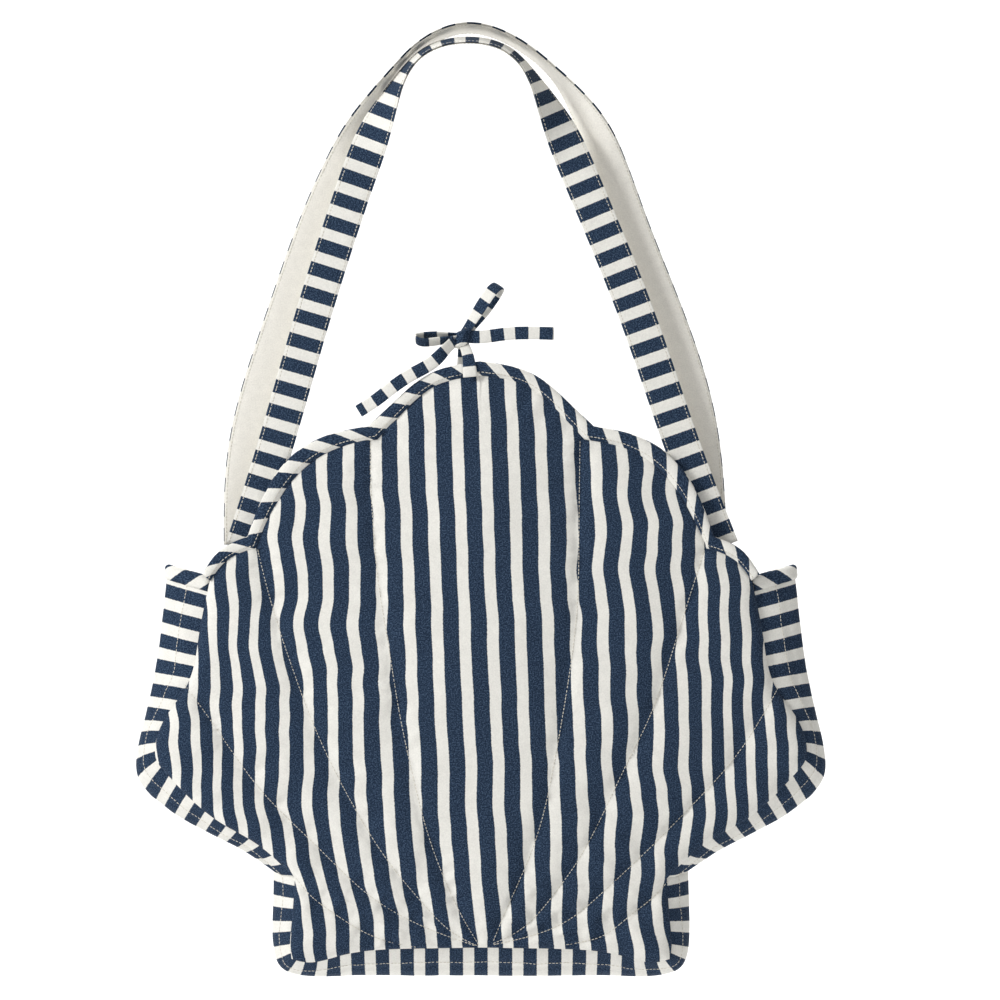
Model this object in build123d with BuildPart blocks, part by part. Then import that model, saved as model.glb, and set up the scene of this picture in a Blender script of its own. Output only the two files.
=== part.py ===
"""A scallop-shaped quilted bag with two shoulder straps and a tied bow, hanging from its straps.

Millimetres. +Z is up, the front faces -Y, and +X is on the right of someone facing the front.
The origin is the point where a hook bears on the straps, in the middle of the bag. Heights are
written above the foot of the bag, and `HANG` takes them down to Z.
"""
from build123d import *
from math import cos, radians, sin
import os

os.makedirs("parts", exist_ok=True)

# Heights above the foot
HANG = 746.0  # underside of the front strap's top
WAIST = 82.0  # where the wings meet the foot
GUSSET_TOP = 315.0  # open ends of the gusset, either side of the mouth, below their binding
GUSSET_EDGE = 327.0  # top of that binding
STRAP_FOLD = 428.0  # where the straps fold over the edge of the mouth

# Depths, front to back
DEPTH = 56.0  # between the panels at the foot
LEAN = 2.43  # degrees that each panel leans in, so that they close at the mouth
STRAP_DEPTH = 8.0  # from the middle of the bag to each strap

# Cloth
SHELL = 1.0  # striped cotton
WADDING = 4.0
LINING = 0.8
PANEL = SHELL + WADDING + LINING
BINDING = 1.2  # folded bias tape, each side of the edge
BINDING_WIDTH = 11.5
HEM_REACH = 0.2  # of the binding's width, from the seam to its row of stitches
GUSSET = 1.3
EDGE_THICK = 3.4  # binding on the gusset's open ends
EDGE_FOLD = [(222.5, -11.5), (251.2, 0), (222.5, 11.5)]  # its middle line, from above
PLY = 1.0  # each layer of a strap
PLY_GAP = 0.1
CLEAR = 0.5  # between the front panel and the gusset behind it
THREAD = 0.6
THREAD_RISE = 0.3

# Straps and ties
STRAP_WIDTH = 28.5
FOLD_GAP = 2.0  # above and below the strap's fold
TIE_WIDTH = 10.4
TIE = 2.0
KNOT = (-15, -5, 510)  # its middle, with its height above the foot
KNOT_SIZE = (11, 9, 14)
KNOT_ROUND = 3.0
LOOP_OPEN = 4.5  # between the two layers of a bow loop

SIDES = {"front": -1, "back": 1}


def panel_plane(side, inward=0.0):
    """The outer face of the front or back panel, or a plane that far inside it, with Y up it."""
    lean = radians(LEAN)
    outward = Vector(0, SIDES[side] * cos(lean), sin(lean))
    foot = Vector(0, SIDES[side] * (DEPTH / 2 + PANEL), -HANG)
    across = Vector(-SIDES[side], 0, 0)
    return Plane(origin=foot - outward * inward, x_dir=across, z_dir=outward)


def level(height):
    return Plane.XY.offset(height - HANG)


def finish(part, name):
    part.label = name
    export_step(part, f"parts/{name}.step")


# Outlines. Each is the right half, from the bottom up, as (x, height), mirrored where it is used.
FOOT_SEAM = [(0, 25), (153, 13), (148, 80)]
WING_SEAM = [(148, 80), (205, 120), (252, 161)]
UPPER_SEAM = [(252, 161), (260, 181), (249, 212), (233, 237), (216, 317)]
LOBE_SEAMS = [
    [(216, 317), (203, 333), (180, 343)],
    [(180, 343), (168, 370), (139, 409), (83, 430)],
    [(83, 430), (64, 450), (36, 473), (0, 481)],
]
LOBE_EDGES = [
    [(222, 322), (208, 341), (186, 352)],
    [(186, 352), (178, 374), (149, 418), (90, 440)],
    [(90, 440), (71, 458), (41, 482), (0, 492)],
]
FOOT_FOLD = [(0, 0), (167, 0), (166, 84)]
WING_FOLD = [(166, 84), (215, 113), (264, 149)]
UPPER_FOLD = [(264, 149), (275, 175), (268, 212), (259, 261), (251, 327)]


def bag_outline(foot, wing, upper, inset):
    """A closed outline of foot and wings, moved in by the inset, and straight across its top."""
    moved = lambda line, rise: [(max(x - inset, 0) if x else 0, z + rise) for x, z in line]
    foot, wing, upper = moved(foot, inset), moved(wing, inset), moved(upper, 0)
    upper[0] = wing[-1]
    top = (upper[-1][0] - 4, upper[-1][1] + 30)
    with BuildSketch() as outline:
        with BuildLine():
            Polyline(*foot)
            ThreePointArc(*wing)
            Spline(*upper)
            Polyline(upper[-1], top, (0, top[1]))
            mirror(about=Plane.YZ)
        make_face()
    return outline.sketch


def quilt_line(*points):
    """One row of stitches on the right half, as (x, height) down to the foot, and its twin."""
    with BuildSketch() as row:
        with BuildLine() as path:
            Spline(*points)
            mirror(about=Plane.YZ)
        trace(path.line, line_width=THREAD)
    return row.sketch


def lobe_points(reach):
    """The lobed top from the gusset to the middle, a share of the way from the seam to the edge."""
    lobes = []
    for seam, edge in zip(LOBE_SEAMS, LOBE_EDGES):
        pairs = zip(seam, edge)
        lobes.append([(x + reach * (u - x), y + reach * (v - y)) for (x, y), (u, v) in pairs])
    return lobes


def panel_outline(reach):
    """The whole front or back of the bag, its top a share of the way from the seam to the edge."""
    with BuildSketch() as outline:
        with BuildLine():
            Polyline(*FOOT_SEAM)
            ThreePointArc(*WING_SEAM)
            Spline(*UPPER_SEAM)
            lobes = lobe_points(reach)
            if reach:
                Line(UPPER_SEAM[-1], lobes[0][0])
            for lobe in lobes:
                Spline(*lobe)
            mirror(about=Plane.YZ)
        make_face()
    return outline.sketch


def hem_outline():
    """The row of stitches along the binding's lower edge."""
    with BuildSketch() as row:
        with BuildLine() as path:
            for lobe in lobe_points(HEM_REACH):
                Spline(*lobe)
            mirror(about=Plane.YZ)
        trace(path.line, line_width=THREAD)
    return row.sketch


panel_shape = panel_outline(0)
hem_rows = hem_outline()
bound_shape = panel_outline(1)
under_binding = panel_outline(1 - BINDING / BINDING_WIDTH)

quilt_rows = [
    quilt_line((79, 425), (76, 300), (62, 200), (45, 100), (9, 31)),
    quilt_line((177, 340), (150, 234), (120, 160), (77, 94), (8, 30)),
    quilt_line((236, 231), (205, 180), (148, 115), (88, 62), (8, 29)),
    quilt_line((146, 79), (110, 45), (80, 29), (50, 27)),
]

for side in SIDES:
    with BuildPart() as panel:
        with BuildSketch(panel_plane(side)):
            add(under_binding)
        extrude(amount=-SHELL)
    finish(panel.part, f"{side}_panel")

    with BuildPart() as wadding:
        with BuildSketch(panel_plane(side, SHELL)):
            add(under_binding)
        extrude(amount=-WADDING)
    finish(wadding.part, f"{side}_wadding")

    with BuildPart() as lining:
        with BuildSketch(panel_plane(side, SHELL + WADDING)):
            add(under_binding)
        extrude(amount=-LINING)
    finish(lining.part, f"{side}_lining")

    with BuildPart() as binding:
        with BuildSketch(panel_plane(side, -BINDING)):
            add(bound_shape)
            add(panel_shape, mode=Mode.SUBTRACT)
        extrude(amount=-(PANEL + 2 * BINDING))
        with BuildSketch(panel_plane(side)):
            add(under_binding)
        extrude(amount=-PANEL, mode=Mode.SUBTRACT)
    finish(binding.part, f"{side}_binding")

    with BuildPart() as hem:
        with BuildSketch(panel_plane(side, -BINDING)):
            add(hem_rows)
        extrude(amount=THREAD_RISE)
    finish(hem.part, f"{side}_binding_thread")

    with BuildPart() as quilting:
        for row in quilt_rows:
            with BuildSketch(panel_plane(side)):
                add(row)
            extrude(amount=THREAD_RISE)
    finish(quilting.part, f"{side}_quilting_thread")


def gusset_block(inset):
    """The space inside the gusset: from the front panel out to the fold and in to the back panel."""
    with BuildPart() as block:
        for side in SIDES:
            gap = CLEAR if side == "front" else 0
            with BuildSketch(panel_plane(side, PANEL + gap)):
                add(bag_outline(FOOT_SEAM, WING_SEAM, UPPER_SEAM, inset))
            with BuildSketch(Plane(origin=(0, 0, -HANG), x_dir=(-SIDES[side], 0, 0),
                                   z_dir=(0, SIDES[side], 0))):
                add(bag_outline(FOOT_FOLD, WING_FOLD, UPPER_FOLD, inset))
            loft(ruled=True)
    return block.part


outside = gusset_block(0)
between = gusset_block(GUSSET)
inside = gusset_block(GUSSET + LINING)

for layer, outer, inner in (("", outside, between), ("_lining", between, inside)):
    with BuildPart() as strip:
        add(outer)
        add(inner, mode=Mode.SUBTRACT)
        split(bisect_by=level(GUSSET_TOP), keep=Keep.BOTTOM)

    with BuildPart() as bottom:
        add(strip.part)
        split(bisect_by=level(WAIST), keep=Keep.BOTTOM)
    finish(bottom.part, f"gusset_bottom{layer}")

    for hand, keep in (("left", Keep.BOTTOM), ("right", Keep.TOP)):
        with BuildPart() as wing:
            add(strip.part)
            split(bisect_by=level(WAIST), keep=Keep.TOP)
            split(bisect_by=Plane.YZ, keep=keep)
        finish(wing.part, f"gusset_{hand}{layer}")


for hand, way in (("left", -1), ("right", 1)):
    with BuildPart() as edge:
        with BuildSketch(level(GUSSET_TOP)):
            with BuildLine() as fold:
                Polyline(*[(way * x, y) for x, y in EDGE_FOLD])
            trace(fold.line, line_width=EDGE_THICK)
        extrude(amount=GUSSET_EDGE - GUSSET_TOP)
    finish(edge.part, f"gusset_{hand}_binding")


# Straps and ties are ribbons: a route, and how far the face has turned along it.
def turned(height, start, end, most):
    """Degrees that a strap has turned at a height, from facing out at the legs to facing up."""
    share = min(max((height - start) / (end - start), 0), 1)
    return most * share * share * (3 - 2 * share)


def ribbon_plane(route, along, facing, turn):
    """The plane across a ribbon: X across its width, and Y away from its face."""
    heading = (route % along).normalized()
    outward = heading.cross(Vector(0, 1, 0)).normalized()
    face = Vector(0, facing, 0) * cos(radians(turn)) + outward * sin(radians(turn))
    return Plane(origin=route @ along, x_dir=heading.cross(face), z_dir=heading)


STRAP_ROUTES = {
    "front": [(-190, 343), (-167, 415), (-135, 525), (-104, 622), (-73, 701), (-45, 739),
              (-12, 748), (20, 741), (51, 701), (87, 621), (125, 527), (162, 421), (192, 343)],
    "back": [(-192, 345), (-189, 418), (-161, 520), (-120, 630), (-85, 697), (-50, 743),
             (-10, 759), (28, 747), (62, 719), (89, 679), (119, 604), (151, 522), (174, 445),
             (183, 345)],
}
STRAP_SPANS = 30  # straight-sided lengths that each strap is made of
TURN_FROM = 640.0  # height where a strap starts to turn
TURN_TO = 735.0
TURN_MOST = 78.0


def strap_layer(side, rise):
    """One layer of a strap, with its middle this far towards the striped face."""
    depth = SIDES[side] * STRAP_DEPTH
    points = [(x, depth, z - HANG) for x, z in STRAP_ROUTES[side]]
    with BuildLine() as route:
        Spline(*points)
    with BuildPart() as strip:
        for step in range(STRAP_SPANS + 1):
            along = step / STRAP_SPANS
            height = (route.line @ along).Z + HANG
            turn = turned(height, TURN_FROM, TURN_TO, TURN_MOST)
            with BuildSketch(ribbon_plane(route.line, along, SIDES[side], turn)):
                with Locations((0, -rise)):
                    Rectangle(STRAP_WIDTH, PLY)
        loft(ruled=True)
    return strip.part


for side in SIDES:
    face = (PLY + PLY_GAP) / 2
    layers = {
        "outer": strap_layer(side, face),
        "lining": strap_layer(side, -face),
    }
    for layer, whole in layers.items():
        with BuildPart() as carried:
            add(whole)
            split(bisect_by=level(STRAP_FOLD + FOLD_GAP), keep=Keep.TOP)
        finish(carried.part, f"{side}_strap_{layer}")

    with BuildPart() as ends:
        for whole in layers.values():
            add(whole)
        split(bisect_by=level(STRAP_FOLD - FOLD_GAP), keep=Keep.BOTTOM)
    finish(ends.part, f"{side}_strap_ends")


def tie(name, points, spans=8):
    """A flat tie whose face looks forward, along points given as (x, y, height)."""
    with BuildLine() as route:
        Spline(*[(x, y, z - HANG) for x, y, z in points])
    with BuildPart() as strip:
        for step in range(spans + 1):
            with BuildSketch(ribbon_plane(route.line, step / spans, -1, 0)):
                Rectangle(TIE_WIDTH, TIE)
        loft(ruled=True)
    finish(strip.part, name)


def bow_loop(name, start, tip):
    """A tie folded flat on itself, from beside the knot to its tip, both given as (x, height)."""
    reach = Vector(tip[0] - start[0], 0, tip[1] - start[1])
    plane = Plane(origin=(start[0], KNOT[1], start[1] - HANG), x_dir=reach,
                  z_dir=reach.cross(Vector(0, 1, 0)))
    with BuildPart() as loop:
        with BuildSketch(plane):
            with Locations((reach.length / 2, 0)):
                SlotOverall(reach.length, LOOP_OPEN + 2 * TIE)
                SlotOverall(reach.length - 2 * TIE, LOOP_OPEN, mode=Mode.SUBTRACT)
        extrude(amount=TIE_WIDTH / 2, both=True)
    finish(loop.part, name)


with BuildPart() as knot:
    with Locations((KNOT[0], KNOT[1], KNOT[2] - HANG)):
        Box(*KNOT_SIZE)
    fillet(knot.edges(), radius=KNOT_ROUND)
finish(knot.part, "bow_knot")

bow_loop("bow_loop_right", (-9, 521.5), (12, 553))
bow_loop("bow_loop_left", (-21.2, 510), (-53, 509))
tie("tie_tail_right", [(-8.5, -5, 511), (25, -7, 513.5), (58, -6, 514)])
tie("tie_tail_left", [(-21, -12.5, 503), (-38, -15.5, 491), (-54, -17.5, 481),
                      (-84, -18.5, 460), (-97, -18.8, 452)])
tie("front_tie_base", [(-9, -10, 495.2), (-10, -9, 498), (-12.5, -7, 501.5)])
tie("back_tie_base", [(-14, 10.5, 493), (-14, 8, 500), (-14.5, 1.8, 507)])
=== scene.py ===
"""A scallop-shaped quilted bag in striped cotton, hanging from its two shoulder straps.

Shapes are worked out in millimetres, as (x across, y back, height above the foot), and turned into
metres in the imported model's frame, whose origin is the point that the straps hang from.
"""
import math
import random

import bpy
import numpy as np
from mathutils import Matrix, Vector, noise
from mathutils.kdtree import KDTree


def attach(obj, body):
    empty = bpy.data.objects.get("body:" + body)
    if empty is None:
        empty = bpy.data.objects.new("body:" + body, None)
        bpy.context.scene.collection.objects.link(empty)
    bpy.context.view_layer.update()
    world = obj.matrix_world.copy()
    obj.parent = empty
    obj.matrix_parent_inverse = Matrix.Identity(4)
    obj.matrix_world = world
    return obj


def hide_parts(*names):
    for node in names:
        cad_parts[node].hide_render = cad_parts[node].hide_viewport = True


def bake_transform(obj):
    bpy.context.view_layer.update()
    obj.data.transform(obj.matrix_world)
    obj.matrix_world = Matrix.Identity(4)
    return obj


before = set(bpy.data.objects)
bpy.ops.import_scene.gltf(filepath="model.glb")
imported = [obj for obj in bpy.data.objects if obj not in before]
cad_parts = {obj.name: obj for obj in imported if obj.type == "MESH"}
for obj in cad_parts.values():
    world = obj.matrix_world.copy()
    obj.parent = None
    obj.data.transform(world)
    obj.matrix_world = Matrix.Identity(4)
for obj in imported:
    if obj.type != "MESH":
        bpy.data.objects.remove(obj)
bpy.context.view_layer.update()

MM = 0.001
HANG = 746.0
HALF_DEPTH = 28.0
PANEL = 5.8
LEAN = math.radians(2.43)
LINING = 0.8
SIDES = {"front": -1, "back": 1}

# Outlines, right half, from the bottom up, as (x, height)
FOOT_SEAM = [(0, 25), (60, 24), (112, 18.5), (141, 13.5), (150, 16), (152, 26), (150, 52), (148, 80)]
WING_SEAM = [(148, 80), (181, 109), (207, 124), (231, 143), (252, 165)]
UPPER_SEAM = [(252, 165), (258, 173), (259.5, 184), (250, 210), (233, 236), (225, 272), (216, 317)]
LOBE_SEAMS = [
    [(216, 317), (203, 333), (180, 343)],
    [(180, 343), (168, 370), (139, 409), (112, 424), (83, 430)],
    [(83, 430), (64, 450), (36, 473), (0, 481)],
]
LOBE_EDGES = [
    [(222, 322), (208, 341), (186, 352)],
    [(186, 352), (178, 374), (149, 418), (119, 434), (90, 440)],
    [(90, 440), (71, 458), (41, 482), (0, 492)],
]
FOOT_FOLD = [(0, 0), (60, 0), (112, 0), (146, 1), (160, 7), (166, 22), (167, 52), (166, 84)]
WING_FOLD = [(166, 84), (192, 101), (215, 113), (241, 127), (264, 144)]
UPPER_FOLD = [(264, 144), (274, 158), (275, 180), (268, 212), (262, 240), (256, 280), (251, 327)]

# Quilting rows, each from the top down to the middle of the foot, as (x, height)
QUILT_ROWS = [
    [(-88, 430), (-88, 397), (-86, 364), (-82, 318), (-74, 268), (-65, 213), (-53, 157),
     (-42, 115), (-30, 82), (-14, 48), (-1, 26)],
    [(79, 429), (78, 345), (77, 301), (73, 261), (67, 221), (60, 181), (43, 109), (30, 77),
     (18, 50), (9, 28)],
    [(-178, 342), (-170, 310), (-151, 250), (-130, 195), (-101, 137), (-71, 90), (-46, 60),
     (-21, 36), (-2, 26)],
    [(178, 341), (170, 316), (153, 262), (134, 208), (115, 169), (94, 125), (77, 94), (57, 66),
     (31, 39), (9, 28)],
    [(-236, 234), (-214, 204), (-174, 149), (-130, 105), (-88, 66), (-44, 41), (-3, 26)],
    [(237, 232), (205, 180), (166, 136), (126, 96), (98, 70), (68, 46), (31, 32), (8, 27)],
    [(-147, 80), (-138, 69), (-115, 51), (-94, 38), (-71, 29), (-49, 25)],
    [(149, 78), (138, 66), (118, 50), (98, 35), (78, 29), (50, 25)],
]

# Straps and ties
STRAP_DEPTH = 8.0
STRAP_WIDTH = 28.5
STRAP_ROUTES = {
    "front": [(-190, 343), (-167, 415), (-135, 525), (-104, 622), (-73, 701), (-45, 739),
              (-12, 748), (20, 741), (51, 701), (87, 621), (125, 527), (162, 421), (192, 343)],
    "back": [(-192, 345), (-189, 418), (-161, 520), (-120, 630), (-85, 697), (-50, 743),
             (-10, 759), (28, 747), (62, 719), (89, 679), (119, 604), (151, 522), (174, 445),
             (183, 345)],
}
STRAP_SAMPLES = 340
STRAP_COLUMNS = 15
STRAP_LAYERS = {  # width, then how far its lower and upper faces stand out from the strap's middle
    "outer": (STRAP_WIDTH, 0.15, 1.35),
    "lining": (STRAP_WIDTH - 1.6, -1.25, -0.02),
}
STRAP_STITCH = 11.9  # from the middle of a strap to each row of stitches
STITCH_LIFTS = {1: 1.33, -1: -1.2}  # of those rows, on the striped face and on the plain one
TWIST = math.radians(78)
TWIST_HEIGHTS = (640, 735)
TIE_WIDTH = 10.4
TIE_SWELL = 0.9
TIE_COLUMNS = 9
LOOP_SAMPLES = 80
RIGHT_TAIL = [(-12, -7.5, 511.5), (-2, -7.5, 511), (20, -6.5, 513.5), (42, -6, 514.2), (58.5, -6, 513.8)]
LEFT_TAIL = [(-21, -10.5, 508), (-28, -13.5, 501), (-38, -16, 491), (-54, -17.6, 481.5),
             (-70, -18.5, 471), (-85, -19, 459.5), (-97.5, -19.2, 451.5)]
FRONT_TIE = [(-8.5, -18.0, 479), (-9, -18.4, 485), (-9.6, -16.5, 491), (-11, -12, 498), (-14, -8, 506)]
BACK_TIE = [(-14, 13, 482), (-14, 12.5, 490), (-14, 8, 499), (-14.5, 0, 507)]
TIE_TAPER = (1.1, 0.75)
KNOT = (-15, -5, 510)
KNOT_RADII = (6.8, 7.2, 7.6)

# Bindings round the top, as (share of the way from seam to edge, height of the cloth)
BINDING_PROFILE = [(-0.06, 0.2), (0.0, 1.0), (0.16, 2.1), (0.45, 3.3), (0.75, 2.9), (0.93, 1.2),
                   (1.02, -2.2), (0.95, -5.2), (0.75, -6.9), (0.4, -7.3), (0.1, -6.9), (-0.02, -6.2)]
BINDING_SAMPLES = 26
BINDING_WIDTH = 11.5
BINDING_HEM = 0.2  # where its stitches run, as a share of the way from seam to edge
BINDING_CLOTH = 0.5

# Gusset, whose ends are bound with a profile of (distance below the end, distance out)
GUSSET_COUNTS = (110, 60, 80)
GUSSET_COLUMNS = 25
GUSSET_HALF_WIDTH = 36
GUSSET_INSETS = (0.0, 1.6, 2.0, 3.4)  # the two faces of its striped cloth, then of its lining
GUSSET_PUFF = 0.6
GUSSET_STITCH_COLUMN = 5
END_PROFILE = [(9.5, 0.3), (8.0, 1.7), (3.5, 2.2), (-1.2, 1.7), (-2.6, -0.8), (-1.2, -3.8),
               (3.5, -4.6), (8.0, -4.2), (9.5, -3.2)]
END_SAMPLES = 22

# Cloth
STRIPE = 19.6  # one navy and one cream stripe
CENTRE_STRIPE = 21.9  # the same on the panels, whose cloth the quilting draws in at the sides
STITCH = 3.0
STITCH_RADIUS = 0.33
# One stitch, as (share of its length, share of its radius, rise in radii)
STITCH_PROFILE = [(-0.5, 0.25, -0.35), (-0.36, 0.9, 0.1), (0, 1, 0.3), (0.36, 0.9, 0.1), (0.5, 0.25, -0.35)]
STITCH_SIDES = 6
LINING_GAP = 0.15
DIAGONAL = 0.7071  # cloth cut on the bias crosses this much stripe for each step along it
PANEL_COLUMNS = 111
PANEL_ROW = 2.4
ROW_SAMPLES = 400
THREAD_PITCH = 0.0011
WEAVE_DEPTH = 0.00022

# The setting, in metres: each light's place, target, size and power
BAG_MIDDLE = (0, 0, -0.45)
LIGHTS = {
    "key": ((-2.5, -1.7, 1.3), BAG_MIDDLE, 0.9, 86),
    "fill": ((2.4, -2.7, 0.0), BAG_MIDDLE, 2.2, 12),
    "top": ((0.0, -0.4, 2.2), BAG_MIDDLE, 1.6, 8),
    "back": ((1.8, 2.8, 1.2), BAG_MIDDLE, 1.6, 6),
    "wall": ((0.0, 3.4, 4.6), (0, 7.0, -0.7), 4.0, 420),
}
VIEW_X = 0.0152
VIEW_HEIGHT = 380.8
DAYLIGHT = 0.22


# ---------------------------------------------------------------- curves and noise
def natural(points, places):
    """A natural cubic through the points, at these distances along their straight chords."""
    t = lengths(points)
    h = np.diff(t)
    n = len(points)
    a = np.eye(n)
    b = np.zeros_like(points)
    for i in range(1, n - 1):
        a[i, i - 1:i + 2] = h[i - 1], 2 * (h[i - 1] + h[i]), h[i]
        b[i] = 6 * ((points[i + 1] - points[i]) / h[i] - (points[i] - points[i - 1]) / h[i - 1])
    m = np.linalg.solve(a, b)
    k = np.clip(np.searchsorted(t, places) - 1, 0, n - 2)
    left, right, step = (places - t[k])[:, None], (t[k + 1] - places)[:, None], h[k][:, None]
    fine = (m[k] * right ** 3 + m[k + 1] * left ** 3) / (6 * step)
    return fine + (points[k + 1] / step - m[k + 1] * step / 6) * left + (
        points[k] / step - m[k] * step / 6) * right


def spline(points, count):
    """A natural cubic through the points, sampled evenly along its length."""
    p = np.array(points, float)
    return resample(natural(p, np.linspace(0, lengths(p)[-1], 40 * len(p))), count)


def paired(points, partner, count):
    """A natural cubic whose samples keep level with even ones along its partner's curve."""
    p, q = np.array(points, float), np.array(partner, float)
    chord = lengths(q)
    share = np.interp(np.linspace(0, chord[-1], count), chord, np.arange(len(q)))
    return natural(p, np.interp(share, np.arange(len(p)), lengths(p)))


def lengths(points):
    """Distance along a polyline to each of its points."""
    return np.concatenate([[0], np.cumsum(np.linalg.norm(np.diff(points, axis=0), axis=1))])


def resample(points, count):
    """The same polyline, as this many points evenly spaced along it."""
    s = lengths(points)
    even = np.linspace(0, s[-1], count)
    return np.stack([np.interp(even, s, points[:, i]) for i in range(points.shape[1])], axis=1)


def chained(*curves):
    """Curves joined end to end, with each shared point kept once."""
    return np.concatenate([curves[0]] + [c[1:] for c in curves[1:]])


def mirrored(half):
    """A right half from the middle out, made whole from left to right."""
    flipped = half[::-1] * np.array([-1] + [1] * (half.shape[1] - 1))
    return np.concatenate([flipped, half[1:]])


def smooth(low, high, value):
    """0 below `low` and 1 above `high`, with a gentle rise between them."""
    t = np.clip((value - low) / (high - low), 0, 1)
    return t * t * (3 - 2 * t)


def ripple(points, scale, seed):
    """Smooth noise from -1 to 1 at each point, with features about `scale` across."""
    shift = Vector((seed * 17.3, seed * 5.1, seed * 9.7))
    flat = np.asarray(points, float).reshape(-1, np.shape(points)[-1]) / scale
    if flat.shape[1] == 2:
        flat = np.concatenate([flat, np.zeros((len(flat), 1))], axis=1)
    values = [noise.noise(Vector(p) + shift) for p in flat]
    return np.array(values).reshape(np.shape(points)[:-1])


def ripple_along(run, scale, seed):
    """The same noise along a line, from distances along it."""
    return ripple(np.stack([run / scale, run * 0], axis=1), 1.0, seed)


def crossed(by_row, by_column):
    """A grid of pairs, with one value from its row and one from its column."""
    return np.stack(np.meshgrid(by_row, by_column, indexing="ij"), axis=-1)


# ---------------------------------------------------------------- places
def to_row(points):
    """Millimetres, with heights above the foot, to metres in the model's frame."""
    return (np.asarray(points, float) - np.array([0, 0, HANG])) * MM


def on_panel(side, x, height, out):
    """A point `out` millimetres in front of a panel's flat outer face."""
    way = SIDES[side]
    y = way * (HALF_DEPTH + PANEL - height * math.sin(LEAN) + out * math.cos(LEAN))
    z = height * math.cos(LEAN) + out * math.sin(LEAN)
    return np.stack(np.broadcast_arrays(x, y, z), axis=-1)


def panel_normals(side, count):
    """The way a panel's outer face looks, once for each of `count` points."""
    return np.repeat((on_panel(side, 0, 0, 1.0) - on_panel(side, 0, 0, 0.0))[None], count, axis=0)


# ---------------------------------------------------------------- meshes
def mesh_piece(name, verts, faces, uv, material):
    """A mesh from points in millimetres, with its cloth coordinates, in metres, as a UV map."""
    data = bpy.data.meshes.new(name)
    data.from_pydata(to_row(verts).tolist(), [], faces)
    layer = data.uv_layers.new(name="cloth")
    index = np.empty(len(data.loops), np.int32)
    data.loops.foreach_get("vertex_index", index)
    layer.data.foreach_set("uv", (np.asarray(uv, float) * MM)[index].astype(np.float32).ravel())
    data.polygons.foreach_set("use_smooth", np.ones(len(data.polygons), bool))
    data.materials.append(material)
    piece = bpy.data.objects.new(name, data)
    bpy.context.scene.collection.objects.link(piece)
    return piece


def quads(rows, cols, start, flip):
    """The faces of a grid of vertices that begins at vertex `start`."""
    i, j = np.meshgrid(np.arange(rows - 1), np.arange(cols - 1), indexing="ij")
    a = start + i * cols + j
    quad = np.stack([a, a + 1, a + cols + 1, a + cols], axis=-1).reshape(-1, 4)
    return quad[:, ::-1] if flip else quad


def slab(name, outer, inner, uv, material, flip=False):
    """A closed sheet between two grids of points, outer and inner, each rows by columns by 3."""
    rows, cols = outer.shape[:2]
    half = rows * cols
    ring = [(0, j) for j in range(cols - 1)] + [(i, cols - 1) for i in range(rows - 1)]
    ring += [(rows - 1, j) for j in range(cols - 1, 0, -1)] + [(i, 0) for i in range(rows - 1, 0, -1)]
    edge = np.array([i * cols + j for i, j in ring])
    after = np.roll(edge, -1)
    wall = np.stack([after, edge, edge + half, after + half], axis=1)
    faces = np.concatenate([quads(rows, cols, 0, flip), quads(rows, cols, half, not flip),
                            wall[:, ::-1] if flip else wall])
    verts = np.concatenate([outer.reshape(-1, 3), inner.reshape(-1, 3)])
    cloth = np.concatenate([uv.reshape(-1, 2)] * 2)
    return mesh_piece(name, verts, faces.tolist(), cloth, material)


def at_distance(field, run, place):
    """A line's points or directions, read at one distance along it."""
    return np.array([np.interp(place, run, field[:, i]) for i in range(3)])


def stitches(name, rows, seed):
    """Separate stitches of thread along rows, each (points, normals), that dip in at their ends."""
    rng = random.Random(seed)
    verts, faces = [], []
    sides = STITCH_SIDES
    for points, normals in rows:
        s = lengths(points)
        at = np.arange(STITCH / 2, s[-1] - STITCH / 2, STITCH)
        at = at + np.array([rng.uniform(-0.12, 0.12) * STITCH for _ in at])
        for centre in at:
            middle = at_distance(points, s, centre)
            along = at_distance(points, s, centre + 0.5) - at_distance(points, s, centre - 0.5)
            along /= np.linalg.norm(along) + 1e-9
            up = at_distance(normals, s, centre)
            up = up - along * (up @ along)
            up /= np.linalg.norm(up) + 1e-9
            side = np.cross(along, up)
            length = STITCH * rng.uniform(0.66, 0.76)
            first = len(verts)
            for share, width, rise in STITCH_PROFILE:
                core = middle + along * share * length + up * rise * STITCH_RADIUS
                for k in range(sides):
                    turn = 2 * math.pi * k / sides
                    spread = side * math.cos(turn) + up * 0.8 * math.sin(turn)
                    verts.append(core + spread * width * STITCH_RADIUS)
            for ring in range(len(STITCH_PROFILE) - 1):
                for k in range(sides):
                    a = first + ring * sides + k
                    b = first + ring * sides + (k + 1) % sides
                    faces.append((a, b, b + sides, a + sides))
            faces.append(tuple(first + k for k in reversed(range(sides))))
            last = first + (len(STITCH_PROFILE) - 1) * sides
            faces.append(tuple(last + k for k in range(sides)))
    uv = np.zeros((len(verts), 2))
    return mesh_piece(name, np.array(verts), faces, uv, THREAD)


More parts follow.
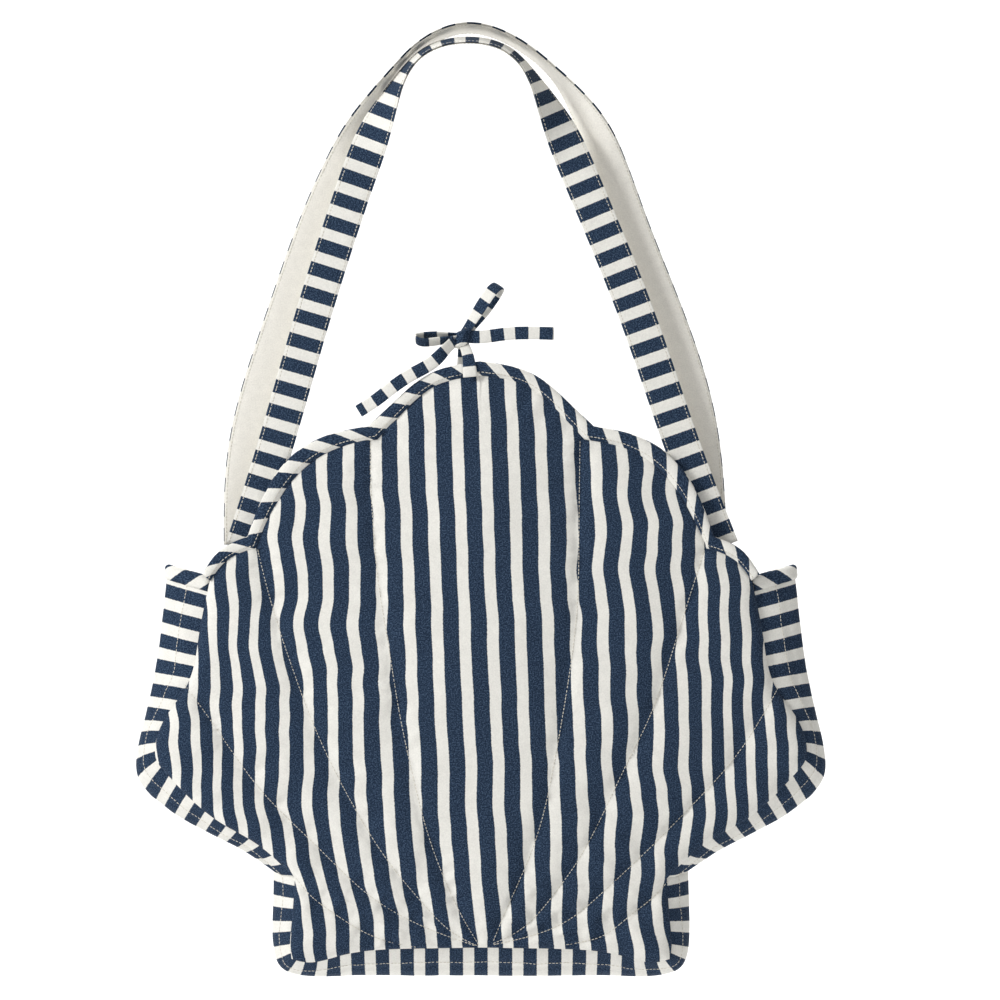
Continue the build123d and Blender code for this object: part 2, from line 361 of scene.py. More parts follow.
# ---------------------------------------------------------------- materials
class Nodes:
    """Shorthand for building one material's node tree."""

    def __init__(self, name):
        self.material = bpy.data.materials.new(name)
        self.material.use_nodes = True
        self.tree = self.material.node_tree
        self.shader = self.tree.nodes["Principled BSDF"]

    def add(self, kind, **settings):
        """A new node of this kind."""
        node = self.tree.nodes.new(kind)
        for key, value in settings.items():
            setattr(node, key, value)
        return node

    def put(self, value, socket):
        """Links a socket into this one, or sets it to a plain value."""
        if isinstance(value, bpy.types.NodeSocket):
            self.tree.links.new(value, socket)
        else:
            socket.default_value = value

    def math(self, operation, *values):
        """One step of arithmetic on sockets or numbers."""
        node = self.add("ShaderNodeMath", operation=operation)
        for value, socket in zip(values, node.inputs):
            self.put(value, socket)
        return node.outputs[0]

    def noise(self, vector, scale, detail=2.0):
        """Soft noise, with `scale` features to the metre."""
        node = self.add("ShaderNodeTexNoise")
        self.put(vector, node.inputs["Vector"])
        node.inputs["Scale"].default_value = scale
        node.inputs["Detail"].default_value = detail
        return node.outputs["Fac"]

    def mix(self, share, first, second, blend="MIX"):
        """One colour over another, by this share."""
        node = self.add("ShaderNodeMix", data_type="RGBA", blend_type=blend)
        self.put(share, node.inputs[0])
        self.put(first, node.inputs[6])
        self.put(second, node.inputs[7])
        return node.outputs[2]

    def ramp(self, value, low, high):
        """0 below `low` and 1 above `high`, with a soft edge between them."""
        node = self.add("ShaderNodeMapRange", interpolation_type="SMOOTHSTEP")
        self.put(value, node.inputs[0])
        node.inputs[1].default_value = low
        node.inputs[2].default_value = high
        return node.outputs[0]


def weave(n, colour):
    """Adds a plain weave: threads both ways, slubs, and a slightly mottled colour."""
    cloth = n.add("ShaderNodeUVMap", uv_map="cloth").outputs[0]
    parts = n.add("ShaderNodeSeparateXYZ")
    n.put(cloth, parts.inputs[0])
    place = n.add("ShaderNodeTexCoord").outputs["Object"]
    threads = []
    for axis in (0, 1):
        turns = n.math("MULTIPLY", parts.outputs[axis], 2 * math.pi / THREAD_PITCH)
        threads.append(n.math("SINE", turns))
    lumps = n.math("MULTIPLY", threads[0], threads[1])
    grain = n.noise(place, 900.0, 3.0)
    slub = n.noise(place, 160.0, 4.0)
    height = n.math("ADD", n.math("MULTIPLY", lumps, 0.35), n.math("MULTIPLY", grain, 0.9))
    bump = n.add("ShaderNodeBump")
    bump.inputs["Strength"].default_value = 0.55
    bump.inputs["Distance"].default_value = WEAVE_DEPTH
    n.put(height, bump.inputs["Height"])
    n.put(bump.outputs[0], n.shader.inputs["Normal"])
    shade = n.math("ADD", n.math("MULTIPLY", n.math("SUBTRACT", grain, 0.5), 0.30),
                   n.math("MULTIPLY", n.math("SUBTRACT", slub, 0.5), 0.14))
    level = n.math("ADD", shade, 1.0)
    tint = n.add("ShaderNodeCombineXYZ")
    for socket in tint.inputs:
        n.put(level, socket)
    n.put(n.mix(1.0, colour, tint.outputs[0], "MULTIPLY"), n.shader.inputs["Base Color"])
    n.shader.inputs["Roughness"].default_value = 0.92
    n.shader.inputs["Specular IOR Level"].default_value = 0.12
    n.shader.inputs["Sheen Weight"].default_value = 0.04
    n.shader.inputs["Sheen Roughness"].default_value = 0.5
    return n.material


NAVY = (0.0105, 0.0230, 0.049, 1)
FADED_NAVY = (0.055, 0.090, 0.150, 1)
CREAM = (0.86, 0.845, 0.79, 1)


def striped(name, pitch=STRIPE, share=0.55):
    """Striped cotton, whose stripes are counted along the cloth's U. `share` of it is navy."""
    n = Nodes(name)
    cloth = n.add("ShaderNodeUVMap", uv_map="cloth").outputs[0]
    parts = n.add("ShaderNodeSeparateXYZ")
    n.put(cloth, parts.inputs[0])
    fuzz = n.math("SUBTRACT", n.noise(cloth, 700.0, 2.0), 0.5)
    along = n.math("ADD", parts.outputs[0], n.math("MULTIPLY", fuzz, 0.0009))
    count = n.math("MULTIPLY", along, 1 / (pitch * MM))
    phase = n.math("FRACT", n.math("ADD", count, 1000.5))
    away = n.math("ABSOLUTE", n.math("SUBTRACT", phase, 0.5))
    cream = n.ramp(away, share / 2 - 0.012, share / 2 + 0.012)
    faded = n.noise(cloth, 950.0, 2.0)
    navy = n.mix(n.ramp(faded, 0.42, 0.66), NAVY, FADED_NAVY)
    return weave(n, n.mix(cream, navy, CREAM))


def plain(name, colour):
    """Cotton of one colour."""
    return weave(Nodes(name), colour)


def thread_cotton(name, colour):
    """Sewing thread, with a slight mottle and sheen."""
    n = Nodes(name)
    place = n.add("ShaderNodeTexCoord").outputs["Object"]
    mottle = n.ramp(n.noise(place, 1200.0, 2.0), 0.3, 0.7)
    darker = tuple(c * 0.78 for c in colour[:3]) + (1,)
    n.put(n.mix(mottle, darker, colour), n.shader.inputs["Base Color"])
    n.shader.inputs["Roughness"].default_value = 0.75
    n.shader.inputs["Sheen Weight"].default_value = 0.2
    return n.material


PANEL_CLOTH = striped("striped_panel", pitch=CENTRE_STRIPE, share=0.58)
BAND_CLOTH = striped("striped_band")
BIAS_CLOTH = striped("striped_bias")
LINING_CLOTH = plain("cream_lining", (0.84, 0.80, 0.71, 1))
STRAP_LINING = plain("cream_strap", (0.86, 0.835, 0.77, 1))
THREAD = thread_cotton("sewing_thread", (0.80, 0.76, 0.66, 1))


# ---------------------------------------------------------------- quilted panels
def seam_half():
    """The right half of the seam round a panel, from the middle of its foot to its top."""
    return chained(spline(FOOT_SEAM, 90), spline(WING_SEAM, 45), spline(UPPER_SEAM, 70),
                   *[spline(lobe, count) for lobe, count in zip(LOBE_SEAMS, (20, 60, 44))])


class Field:
    """Finds the nearest point of a set of curves: how far it is, and how far along its curve."""

    def __init__(self, curves):
        self.points = np.concatenate(curves)
        self.along = np.concatenate([lengths(c) + 1000 * i for i, c in enumerate(curves)])
        self.heading = np.concatenate([np.gradient(c, axis=0) for c in curves])
        self.heading /= np.linalg.norm(self.heading, axis=1)[:, None] + 1e-9
        self.tree = KDTree(len(self.points))
        for i, (x, h) in enumerate(self.points):
            self.tree.insert((x, h, 0), i)
        self.tree.balance()

    def near(self, places):
        """Distance, distance along the curve, and side (-1 or 1) for each (x, height)."""
        found = np.array([self.tree.find((x, h, 0))[1] for x, h in places])
        gap = places - self.points[found]
        heading = self.heading[found]
        across = gap[:, 0] * heading[:, 1] - gap[:, 1] * heading[:, 0]
        ahead = (gap * heading).sum(axis=1)
        distance = np.hypot(across, np.maximum(np.abs(ahead) - 1.0, 0))
        return distance, self.along[found] + ahead, np.sign(across)


def panel_grid():
    """The panel's (x, height) grid. Its rows are level, and its foot follows the bottom seam."""
    half = seam_half()
    foot = spline(FOOT_SEAM[:5], 60)
    corner = foot[-1, 0]
    outline = half[lengths(half) > 165]
    outline = outline[outline[:, 1] > 30]
    outline = outline[np.argsort(outline[:, 1], kind="stable")]
    levels = np.concatenate([np.linspace(20, 30, 6)[:-1], outline[:, 1]])
    levels = levels[np.concatenate([[True], np.diff(levels) > 0.25])]
    levels = fill_gaps(levels, PANEL_ROW)
    widths = np.interp(levels, outline[:, 1], outline[:, 0])
    low = levels < 30
    widths[low] = np.interp(levels[low], [20, 30], [corner + 0.5, widths[~low][0]])
    widths = np.maximum(widths, 1.5)
    share = np.linspace(-1, 1, PANEL_COLUMNS)
    x = widths[:, None] * share[None, :]
    height = np.repeat(levels[:, None], PANEL_COLUMNS, axis=1)
    bottom = np.interp(np.abs(x), foot[:, 0], foot[:, 1])
    height = height + (bottom - levels[0]) * np.clip(1 - (height - levels[0]) / 50, 0, 1)
    return x, height


def fill_gaps(levels, most):
    """Adds levels so that none is more than `most` above the last."""
    full = [levels[0]]
    for level in levels[1:]:
        steps = max(1, math.ceil((level - full[-1]) / most))
        full.extend(np.linspace(full[-1], level, steps + 1)[1:])
    return np.array(full)


def stripe_count(x, height):
    """Distance across the cloth at each point of a panel, in millimetres of unquilted cloth."""
    drift = 9.5 - 0.04 * height + 4.5 * np.clip(1 - height / 90, 0, 1)
    foot = 1 - 0.075 * (1 - smooth(30, 130, height))
    away = np.abs(x - drift) / foot
    fine = np.linspace(0, 330, 500)
    pitch = CENTRE_STRIPE - 4.9 * smooth(80, 215, fine)
    count = np.concatenate([[0], np.cumsum(np.diff(fine) * CENTRE_STRIPE / pitch[1:])])
    return np.sign(x - drift) * np.interp(away, fine, count)


def quilt_surface(side):
    """How far a panel's cloth stands out, and how far its stripes are pulled sideways."""
    flip = 1 if side == "front" else -1
    x, height = panel_grid()
    places = np.stack([x.ravel() * flip, height.ravel()], axis=1)
    rows = Field([spline(row, 260) for row in QUILT_ROWS])
    outline = Field([mirrored(seam_half())])
    seed = 1 if side == "front" else 2
    gap, along, hand = rows.near(places)
    rim, rim_along, _ = outline.near(places)
    close = np.minimum(gap, rim)

    # The wadding swells between the stitched rows, and more towards the middle of the bag
    lift = 2.0 * (1 - np.exp(-close / 5)) + 3.4 * (1 - np.exp(-close / 30))
    lift += 8.0 * smooth(0, 170, rim) - 0.9 * np.exp(-gap / 2)
    lift -= 3.4 * np.exp(-rim / 3.5) * (1 - smooth(300, 322, places[:, 1]))

    # Puckers cross the rows and the rim, short ones close by and longer ones beyond them
    at = np.stack([along / 6.5, hand * 4.0, gap / 30], axis=1)
    pucker = ripple(at, 1.0, seed) * 3.2 * np.exp(-gap / 9) * (1 - np.exp(-gap / 1.2))
    long_at = np.stack([along / 15, hand * 3.0, gap / 60], axis=1)
    pucker += ripple(long_at, 1.0, seed + 3) * 4.0 * np.exp(-gap / 26) * (1 - np.exp(-gap / 4))
    rim_at = np.stack([rim_along / 11, rim / 40, np.zeros_like(rim)], axis=1)
    pucker += ripple(rim_at, 1.0, seed + 5) * 3.0 * np.exp(-rim / 16) * (1 - np.exp(-rim / 3))
    soft = ripple(places, 62, seed + 7) * 1.7 + ripple(places, 27, seed + 8) * 0.7
    lift += pucker + soft * (1 - np.exp(-close / 16))

    # The stripes wander, most of all on the outer lobes
    outer_lobes = smooth(40, 170, np.abs(places[:, 0]))
    pull = ripple(places / np.array([110.0, 38.0]), 1.0, seed + 9) * (1.3 + 3.3 * outer_lobes)
    pull += ripple(places / np.array([60.0, 19.0]), 1.0, seed + 11) * (0.7 + 2.3 * outer_lobes)
    pull += ripple(along[:, None] / np.array([15.0, 1e6]), 1.0, seed + 13) * 1.6 * np.exp(-gap / 12)
    cloth = np.stack([stripe_count(places[:, 0], places[:, 1]) + pull, places[:, 1]], axis=1)
    shape = x.shape
    return x, height, lift.reshape(shape), cloth.reshape(shape + (2,)), close.reshape(shape)


def surface_at(x, height, lift):
    """A function that reads a panel's lift at any (x, height), from its grid."""
    middle = height[:, height.shape[1] // 2]
    order = np.arange(len(middle))

    def read(points):
        values = []
        for px, ph in points:
            row = np.interp(ph, middle, order)
            low = int(min(max(math.floor(row), 0), len(order) - 2))
            mixed = row - low
            picks = [np.interp(px, x[r], lift[r]) for r in (low, low + 1)]
            values.append(picks[0] * (1 - mixed) + picks[1] * mixed)
        return np.array(values)

    return read


def make_panels():
    """The two quilted panels, each with its lining and its rows of quilting stitches."""
    for side in SIDES:
        x, height, lift, cloth, close = quilt_surface(side)
        body = "front_panel" if side == "front" else "root"
        outer = on_panel(side, x, height, lift)
        dimple = -PANEL + LINING + 0.3 - 0.5 * np.exp(-close / 5)
        inner = on_panel(side, x, height, dimple)
        lined = on_panel(side, x, height, dimple - LINING_GAP)
        bare = on_panel(side, x, height, dimple - LINING_GAP - LINING)
        flip = side == "back"
        quilt = slab(f"{side}_quilted_panel", outer, inner, cloth, PANEL_CLOTH, flip)
        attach(quilt, body)
        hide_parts(f"{side}_panel", f"{side}_wadding")
        lining = slab(f"{side}_lining_cloth", lined, bare, cloth, LINING_CLOTH, flip)
        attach(lining, body)
        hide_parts(f"{side}_lining")
        read = surface_at(x, height, lift)
        rows = []
        for row in QUILT_ROWS:
            line = spline(row, ROW_SAMPLES)
            flat = line * np.array([1 if side == "front" else -1, 1])
            on = on_panel(side, flat[:, 0], flat[:, 1], read(flat) + 0.12)
            rows.append((on, panel_normals(side, ROW_SAMPLES)))
        thread = stitches(f"{side}_quilting", rows, seed=3)
        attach(thread, body)
        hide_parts(f"{side}_quilting_thread")


# ---------------------------------------------------------------- bindings
def bias_cloth(run, across):
    """Cloth coordinates of a binding cut on the bias, so that its stripes cross it slantwise."""
    along = (run[:, None] + across[None, :]) * DIAGONAL
    return np.stack(np.broadcast_arrays(along, across), axis=-1)


def make_bindings():
    """The folded bindings that close the lobed top edges, and their stitches."""
    seam = mirrored_top(LOBE_SEAMS)
    edge = mirrored_top(LOBE_EDGES)
    run = lengths(edge)
    reach, rise = spline(BINDING_PROFILE, BINDING_SAMPLES).T
    for side in SIDES:
        body = "front_panel" if side == "front" else "root"
        base = seam[:, None] + (edge - seam)[:, None] * reach[None, :, None]
        bump = ripple_along(run, 13, 21 + SIDES[side])[:, None]
        fine = ripple_along(run, 5, 23 + SIDES[side])[:, None]
        crown = np.sin(math.pi * np.clip(reach, 0, 1))[None, :] * (rise > -2)[None, :]
        out = rise[None, :] + (bump * 0.9 + fine * 0.5) * crown
        outer = on_panel(side, base[..., 0], base[..., 1], out)
        thick = np.sign(rise + 2.2)[None, :] * BINDING_CLOTH
        inner_reach = np.clip(reach, 0.0, 0.95)
        inner_base = seam[:, None] + (edge - seam)[:, None] * inner_reach[None, :, None]
        inner = on_panel(side, inner_base[..., 0], inner_base[..., 1], out - thick)
        across = lengths(np.stack([reach * BINDING_WIDTH, rise], axis=1))
        cloth = bias_cloth(run, across)
        binding = slab(f"{side}_edge_binding", outer, inner, cloth, BIAS_CLOTH, side == "front")
        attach(binding, body)
        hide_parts(f"{side}_binding")
        hem = seam + (edge - seam) * BINDING_HEM
        upper = slice(0, BINDING_SAMPLES // 2)
        rises = np.interp(BINDING_HEM, reach[upper], rise[upper])
        on = on_panel(side, hem[:, 0], hem[:, 1], rises + 0.1)
        hem_row = [(on, panel_normals(side, len(hem)))]
        thread = stitches(f"{side}_binding_stitches", hem_row, seed=5)
        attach(thread, body)
        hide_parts(f"{side}_binding_thread")


def mirrored_top(curves):
    """The lobed top from its left end to its right end."""
    half = chained(*[spline(lobe, count) for lobe, count in zip(curves, (22, 64, 48))])
    left = half * np.array([-1, 1])
    return np.concatenate([left, half[::-1][1:]])


# ---------------------------------------------------------------- gusset
def gusset_half():
    """The gusset's seam and its fold, for the right half, with points level with each other."""
    counts = GUSSET_COUNTS
    seams, folds = (FOOT_SEAM, WING_SEAM, UPPER_SEAM), (FOOT_FOLD, WING_FOLD, UPPER_FOLD)
    seam = chained(*[paired(s, f, n) for s, f, n in zip(seams, folds, counts)])
    fold = chained(*[paired(f, f, n) for f, n in zip(folds, counts)])
    return seam, fold


def gusset_points(seam, fold, inset):
    """Rows along the gusset and columns from its front seam, round its fold, to its back seam."""
    middle = (seam + fold) / 2
    heading = np.gradient(middle, axis=0)
    heading /= np.linalg.norm(heading, axis=1)[:, None] + 1e-9
    outward = np.stack([heading[:, 1], -heading[:, 0]], axis=1)
    run = lengths(middle)
    v = np.linspace(-1, 1, GUSSET_COLUMNS)
    reach = 1 - np.abs(v) ** 1.15
    reach = np.minimum(reach, 0.985)
    wave = ripple(crossed(run / 24, v * 1.3), 1.0, 31)
    fine = ripple(crossed(run / 9, v * 2.0), 1.0, 33)
    crown = np.sin(math.pi * reach)
    crease = -1.6 * np.exp(-((reach - 0.62) / 0.05) ** 2)
    folds = (wave * 2.4 + fine * 0.9) * (0.25 + 0.75 * crown) * np.minimum(reach * 4, 1)
    swell = 2.2 * crown + crease + folds - inset
    flat = seam[:, None] + (fold - seam)[:, None] * reach[None, :, None]
    depth = HALF_DEPTH - flat[..., 1] * math.sin(LEAN) - 0.2
    x = flat[..., 0] + outward[:, 0][:, None] * swell * GUSSET_PUFF
    z = flat[..., 1] + outward[:, 1][:, None] * swell * GUSSET_PUFF
    past_seam = np.minimum(1, (1 - np.abs(v)) * 6)
    past_fold = np.minimum(1, np.abs(v) * 6)
    y = np.sign(v) * depth * np.abs(v) ** 0.9
    y = y + np.sign(v) * swell * GUSSET_PUFF * past_seam * past_fold
    return np.stack([x, y, z], axis=-1)


def blend_to_front(piece):
    """Works out a point on the front panel's seam, which is not used, and bakes the piece's placement into
    its mesh.
    """
    seam = Vector(to_row(on_panel("front", 0, 150, -PANEL)).tolist())
    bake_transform(piece)


def make_gusset():
    """The band of cloth between the panels, in three lengths, with its lining and its stitches."""
    half_seam, half_fold = gusset_half()
    seam, fold = mirrored(half_seam), mirrored(half_fold)
    outer, inner, lined, bare = [gusset_points(seam, fold, inset) for inset in GUSSET_INSETS]
    run = lengths((seam + fold) / 2)
    width = np.linspace(-1, 1, GUSSET_COLUMNS) * GUSSET_HALF_WIDTH
    cloth = crossed(run - run[-1] / 2, width)
    count = len(half_seam)
    waist = GUSSET_COUNTS[0] - 1
    middle = count - 1
    spans = {"left": slice(0, middle - waist + 1), "bottom": slice(middle - waist, middle + waist + 1),
             "right": slice(middle + waist, 2 * count - 1)}
    for name, span in spans.items():
        strip = slab(f"gusset_{name}_band", outer[span], inner[span], cloth[span], BAND_CLOTH, True)
        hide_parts(f"gusset_{name}")
        lining = slab(f"gusset_{name}_inside", lined[span], bare[span], cloth[span], LINING_CLOTH, True)
        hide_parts(f"gusset_{name}_lining")
        for piece, grid in ((strip, outer[span]), (lining, lined[span])):
            blend_to_front(piece)
    rows = []
    for column in (GUSSET_STITCH_COLUMN, GUSSET_COLUMNS - 1 - GUSSET_STITCH_COLUMN):
        line = outer[:, column]
        across = outer[:, column + 1] - outer[:, column - 1]
        normal = np.cross(np.gradient(line, axis=0), across)
        normal *= np.sign((normal * (line - np.array([0, 0, 200]))).sum(axis=1))[:, None]
        normal /= np.linalg.norm(normal, axis=1)[:, None] + 1e-9
        rows.append((line + normal * 0.1, normal))
    thread = stitches("gusset_stitches", rows, seed=7)
    blend_to_front(thread)
    make_gusset_ends(outer)


def make_gusset_ends(outer):
    """The bias binding over the open end of the gusset, each side of the mouth."""
    for hand, end, way in (("left", 0, 1), ("right", -1, -1)):
        line = outer[end]
        below = outer[end + 4 * way]
        down = below - line
        down /= np.linalg.norm(down, axis=1)[:, None]
        heading = np.gradient(line, axis=0)
        heading /= np.linalg.norm(heading, axis=1)[:, None]
        out = np.cross(heading, down)
        away = line - line.mean(axis=0) + np.array([-1 if hand == "left" else 1, 0, 0]) * 8
        out *= np.sign((out * away).sum(axis=1))[:, None]
        profile = spline(END_PROFILE, END_SAMPLES)
        below_end, stand = profile[None, :, :1], profile[None, :, 1:]
        grid = line[:, None] + down[:, None] * below_end + out[:, None] * stand
        core_below, core_stand = below_end * 0.94 + 0.2, (stand + 1.1) * 0.8 - 1.1
        centre = line[:, None] + down[:, None] * core_below + out[:, None] * core_stand
        across = lengths(profile)
        s = lengths(line)
        cloth = bias_cloth(s, across)
        binding = slab(f"gusset_{hand}_edge", grid, centre, cloth, BIAS_CLOTH, hand == "right")
        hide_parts(f"gusset_{hand}_binding")
        blend_to_front(binding)


# ---------------------------------------------------------------- straps
def turned(height):
    """How far a strap has twisted from facing outward, up to its almost edge-on top."""
    return TWIST * smooth(*TWIST_HEIGHTS, height)


def strap_frames(side):
    """Points along a strap, with the way across it and the way its striped face looks."""
    way = SIDES[side]
    route = spline(STRAP_ROUTES[side], STRAP_SAMPLES)
    depth = np.full(STRAP_SAMPLES, way * STRAP_DEPTH)
    points = np.stack([route[:, 0], depth, route[:, 1]], axis=1)
    heading = np.gradient(points, axis=0)
    heading /= np.linalg.norm(heading, axis=1)[:, None]
    outward = np.cross(heading, np.array([0, 1, 0]))
    turn = turned(points[:, 2])[:, None]
    face = np.array([0, way, 0]) * np.cos(turn) + outward * np.sin(turn)
    across = np.cross(heading, face)
    return points, across, face


def make_straps():
    """Each strap's striped outer cloth, its plain lining and the stitches along both edges."""
    v = np.sin(np.linspace(-math.pi / 2, math.pi / 2, STRAP_COLUMNS))
    swell = np.sqrt(np.clip(1 - np.abs(v) ** 6, 0, 1))
    stitch_line = -0.28 * np.exp(-((np.abs(v) - 0.84) / 0.07) ** 2)
    for side in SIDES:
        points, across, face = strap_frames(side)
        run = lengths(points)
        wrinkle = ripple(crossed(run / 10, v * 1.5), 1.0, 43) * 0.22
        for layer, (width, low, high) in STRAP_LAYERS.items():
            middle = (low + high) / 2
            grids = []
            for rise, way in ((high, 1), (low, -1)):
                lift = middle + (rise - middle) * swell[None, :]
                if (way > 0) == (layer == "outer"):
                    lift = lift + stitch_line * way + wrinkle
                spread = across[:, None] * (v * width / 2)[None, :, None]
                grids.append(points[:, None] + spread + face[:, None] * lift[..., None])
            cloth = crossed(run - run[-1] / 2, v * width / 2)
            fabric = BAND_CLOTH if layer == "outer" else STRAP_LINING
            strap = slab(f"{side}_shoulder_strap_{layer}", grids[0], grids[1], cloth, fabric)
            if layer == "outer":
                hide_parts(f"{side}_strap_outer", f"{side}_strap_ends")
            else:
                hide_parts(f"{side}_strap_lining")
            blend_strap(strap)
        rows = []
        for way in (-1, 1):
            for sign, lift in STITCH_LIFTS.items():
                rows.append((points + across * way * STRAP_STITCH + face * (lift - 0.2 * sign), face * sign))
        thread = stitches(f"{side}_strap_stitches", rows, seed=9)
        blend_strap(thread)


def blend_strap(piece):
    """Bakes a strap piece's placement into its mesh."""
    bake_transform(piece)


# ---------------------------------------------------------------- bow
def ribbon(name, centre, across, start, width=TIE_WIDTH):
    """A flat tie sewn from folded cloth, along points, with the way across it."""
    heading = np.gradient(centre, axis=0)
    heading /= np.linalg.norm(heading, axis=1)[:, None] + 1e-9
    across = across - heading * (across * heading).sum(axis=1)[:, None]
    across /= np.linalg.norm(across, axis=1)[:, None]
    face = np.cross(across, heading)
    v = np.sin(np.linspace(-math.pi / 2, math.pi / 2, TIE_COLUMNS))
    swell = np.sqrt(np.clip(1 - np.abs(v) ** 4, 0, 1)) * TIE_SWELL
    run = lengths(centre)
    lump = 1 + 0.25 * ripple(crossed(run / 7, v), 1.0, 51)
    spread = across[:, None] * (v * 0.5)[None, :, None] * np.reshape(width, (-1, 1, 1))
    rise = face[:, None] * (swell * lump)[..., None]
    cloth = crossed(run + start, v * TIE_WIDTH / 2)
    piece = slab(name, centre[:, None] + spread + rise, centre[:, None] + spread - rise, cloth, BAND_CLOTH)
    return piece


def bow_loop(name, node, start, tip, start_stripe, tilt, gap):
    """A loop out from the knot and back, seen partly edge-on: `tilt` is how far it is turned."""
    t = np.linspace(0, 1, LOOP_SAMPLES)[:, None]
    arch = np.sin(math.pi * t)
    start, tip = np.array(start, float), np.array(tip, float)
    reach = tip - start
    ahead = reach / np.linalg.norm(reach)
    side = np.cross(ahead, np.array([0, 1, 0]))
    across = side * math.cos(tilt) + np.array([0, 1, 0]) * math.sin(tilt)
    open_way = np.cross(ahead, across)
    belly = np.cos(math.pi * t) * (0.25 + 0.9 * arch)
    sway = ripple_along(t[:, 0] * 4, 1.0, 61)[:, None] * 1.2 * arch
    centre = start + reach * arch ** 0.75 + open_way * (gap * belly + sway)
    width = TIE_WIDTH * (0.75 + 0.25 * smooth(0, 0.45, arch[:, 0]))
    piece = ribbon(name, centre, across, start_stripe, width)
    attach(piece, "tie_bow")
    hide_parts(node)


def make_bow():
    """The bow that closes the mouth: two loops, two tails, two sewn ends and the knot."""
    bow_loop("bow_right_loop", "bow_loop_right", (-13, -5, 513), (14, -6, 552),
             start_stripe=13.0, tilt=math.radians(25), gap=8.0)
    bow_loop("bow_left_loop", "bow_loop_left", (-16, -5, 511), (-52, -5, 509),
             start_stripe=8.0, tilt=math.radians(52), gap=5.0)

    right = ribbon("bow_right_tail", spline(RIGHT_TAIL, 60), np.array([0.0, 0.12, 1.0]), 14.0)
    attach(right, "tie_bow")
    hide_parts("tie_tail_right")

    tail = spline(LEFT_TAIL, 80)
    left = ribbon("bow_left_tail", tail, np.array([0.55, 0.1, 1.0]), 2.0)
    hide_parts("tie_tail_left")
    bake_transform(left)

    taper = TIE_WIDTH * np.linspace(*TIE_TAPER, 30)
    level = np.array([1.0, 0, 0.1])
    base = spline(FRONT_TIE, 30)
    front = ribbon("front_tie_end", base, level, 6.0, taper)
    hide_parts("front_tie_base")
    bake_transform(front)

    base = spline(BACK_TIE, 30)
    back = ribbon("back_tie_end", base, level, 0.0, taper)
    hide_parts("back_tie_base")
    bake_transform(back)

    make_knot()


def make_knot():
    """The knot: a band of tie wrapped round the others, pinched in by its own pull."""
    turn = np.linspace(0, 2 * math.pi, 49)
    v = np.linspace(-1, 1, 15)
    u, w = np.meshgrid(turn, v, indexing="ij")
    pinch = 1 - 0.16 * np.exp(-((w - 0.35) / 0.18) ** 2) - 0.12 * np.exp(-((w + 0.4) / 0.15) ** 2)
    fold = 1 + 0.06 * np.sin(3 * u + 4 * w) + 0.04 * np.sin(7 * u - 3 * w)
    size = np.sqrt(np.clip(1 - np.abs(w) ** 3.2, 0.03, 1)) * pinch * fold
    wide, deep, tall = KNOT_RADII
    tilt = w * tall
    x = KNOT[0] + wide * np.cos(u) * size + tilt * 0.18
    y = KNOT[1] - 1.5 + deep * np.sin(u) * size
    z = KNOT[2] + tilt + 1.2 * np.cos(u)
    outer = np.stack([x, y, z], axis=-1)
    core = np.stack([KNOT[0] + (x - KNOT[0]) * 0.6, KNOT[1] + (y - KNOT[1]) * 0.6, z], axis=-1)
    cloth = np.stack([w * 7 + 2.0 * np.sin(u), u * 5], axis=-1)
    knot = slab("bow_centre_knot", outer, core, cloth, BAND_CLOTH, True)
    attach(knot, "tie_bow")
    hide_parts("bow_knot")


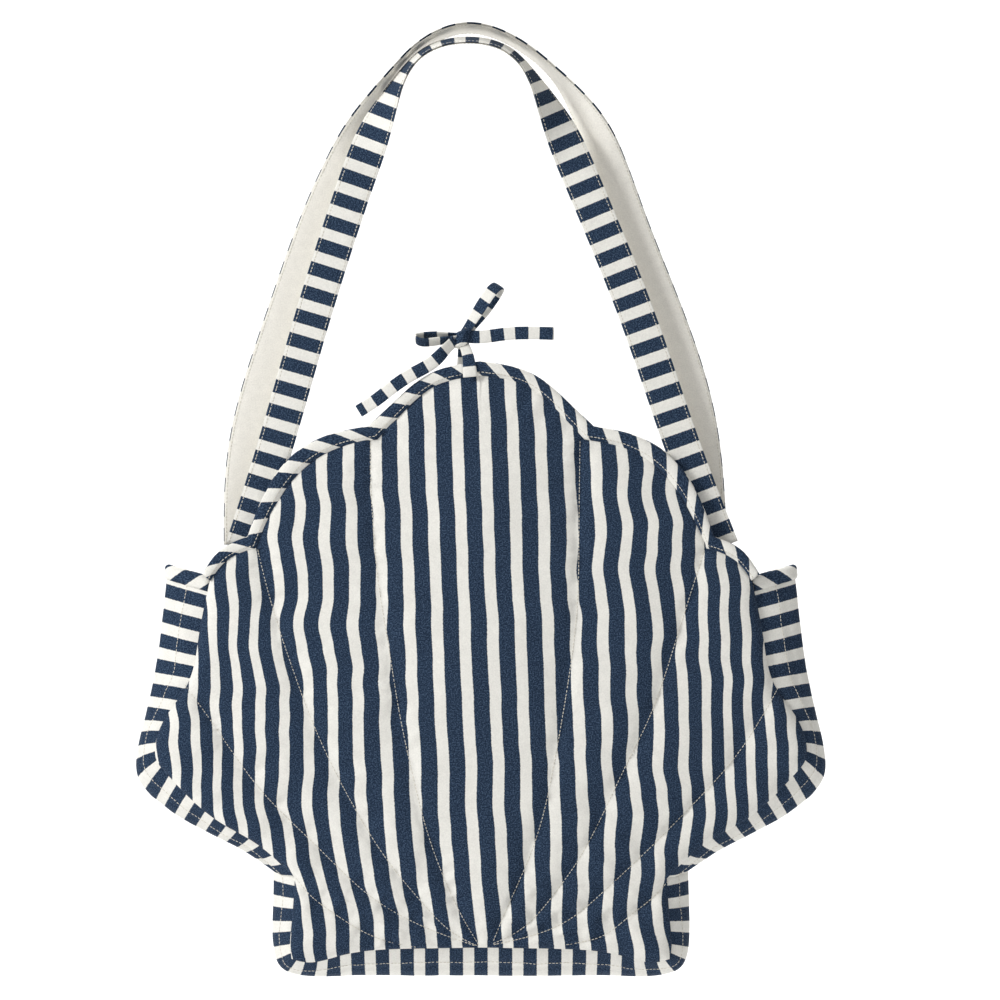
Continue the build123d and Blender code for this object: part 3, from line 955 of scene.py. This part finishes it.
# ---------------------------------------------------------------- setting
def make_backdrop():
    """A pale floor that curves up into a pale wall behind the bag."""
    wide, front, back, floor, bend = 9.0, -7.0, 7.5, -1.05, 1.5
    profile = [(front, floor), (back - bend, floor)]
    for step in range(1, 17):
        turn = math.pi / 2 * step / 16
        profile.append((back - bend + bend * math.sin(turn), floor + bend - bend * math.cos(turn)))
    profile.append((back, 7.0))
    verts = [(x, y, z) for y, z in profile for x in (-wide, wide)]
    faces = [(2 * i, 2 * i + 1, 2 * i + 3, 2 * i + 2) for i in range(len(profile) - 1)]
    data = bpy.data.meshes.new("backdrop")
    data.from_pydata(verts, [], faces)
    data.polygons.foreach_set("use_smooth", np.ones(len(data.polygons), bool))
    n = Nodes("pale_paper")
    place = n.add("ShaderNodeTexCoord").outputs["Object"]
    paper = n.mix(n.noise(place, 3.0), (0.93, 0.93, 0.93, 1), (0.95, 0.95, 0.95, 1))
    n.put(paper, n.shader.inputs["Base Color"])
    n.shader.inputs["Roughness"].default_value = 0.9
    data.materials.append(n.material)
    backdrop = bpy.data.objects.new("backdrop", data)
    bpy.context.scene.collection.objects.link(backdrop)


def add_light(name, place, target, size, power):
    """A white square light at `place`, turned to face its target."""
    data = bpy.data.lights.new(name, "AREA")
    data.size = size
    data.energy = power
    light = bpy.data.objects.new(name, data)
    light.location = place
    light.rotation_euler = (Vector(target) - Vector(place)).to_track_quat("-Z", "Y").to_euler()
    bpy.context.scene.collection.objects.link(light)


def make_camera_and_lights():
    """A long lens level with the bag, the lights of LIGHTS, and an even white daylight."""
    scene = bpy.context.scene
    distance, span = 5.0, 0.8
    data = bpy.data.cameras.new("camera")
    data.sensor_width = 36
    data.lens = 36 * distance / span
    camera = bpy.data.objects.new("camera", data)
    camera.location = (VIEW_X, -distance, (VIEW_HEIGHT - HANG) * MM)
    camera.rotation_euler = (math.pi / 2, 0, 0)
    scene.collection.objects.link(camera)
    scene.camera = camera
    for name, settings in LIGHTS.items():
        add_light(name, *settings)
    world = bpy.data.worlds.new("studio")
    world.use_nodes = True
    world.node_tree.nodes["Background"].inputs[0].default_value = (1, 1, 1, 1)
    world.node_tree.nodes["Background"].inputs[1].default_value = DAYLIGHT
    scene.world = world
    scene.view_settings.view_transform = "Standard"


make_camera_and_lights()
make_backdrop()
make_panels()
make_bindings()
make_gusset()
make_straps()
make_bow()
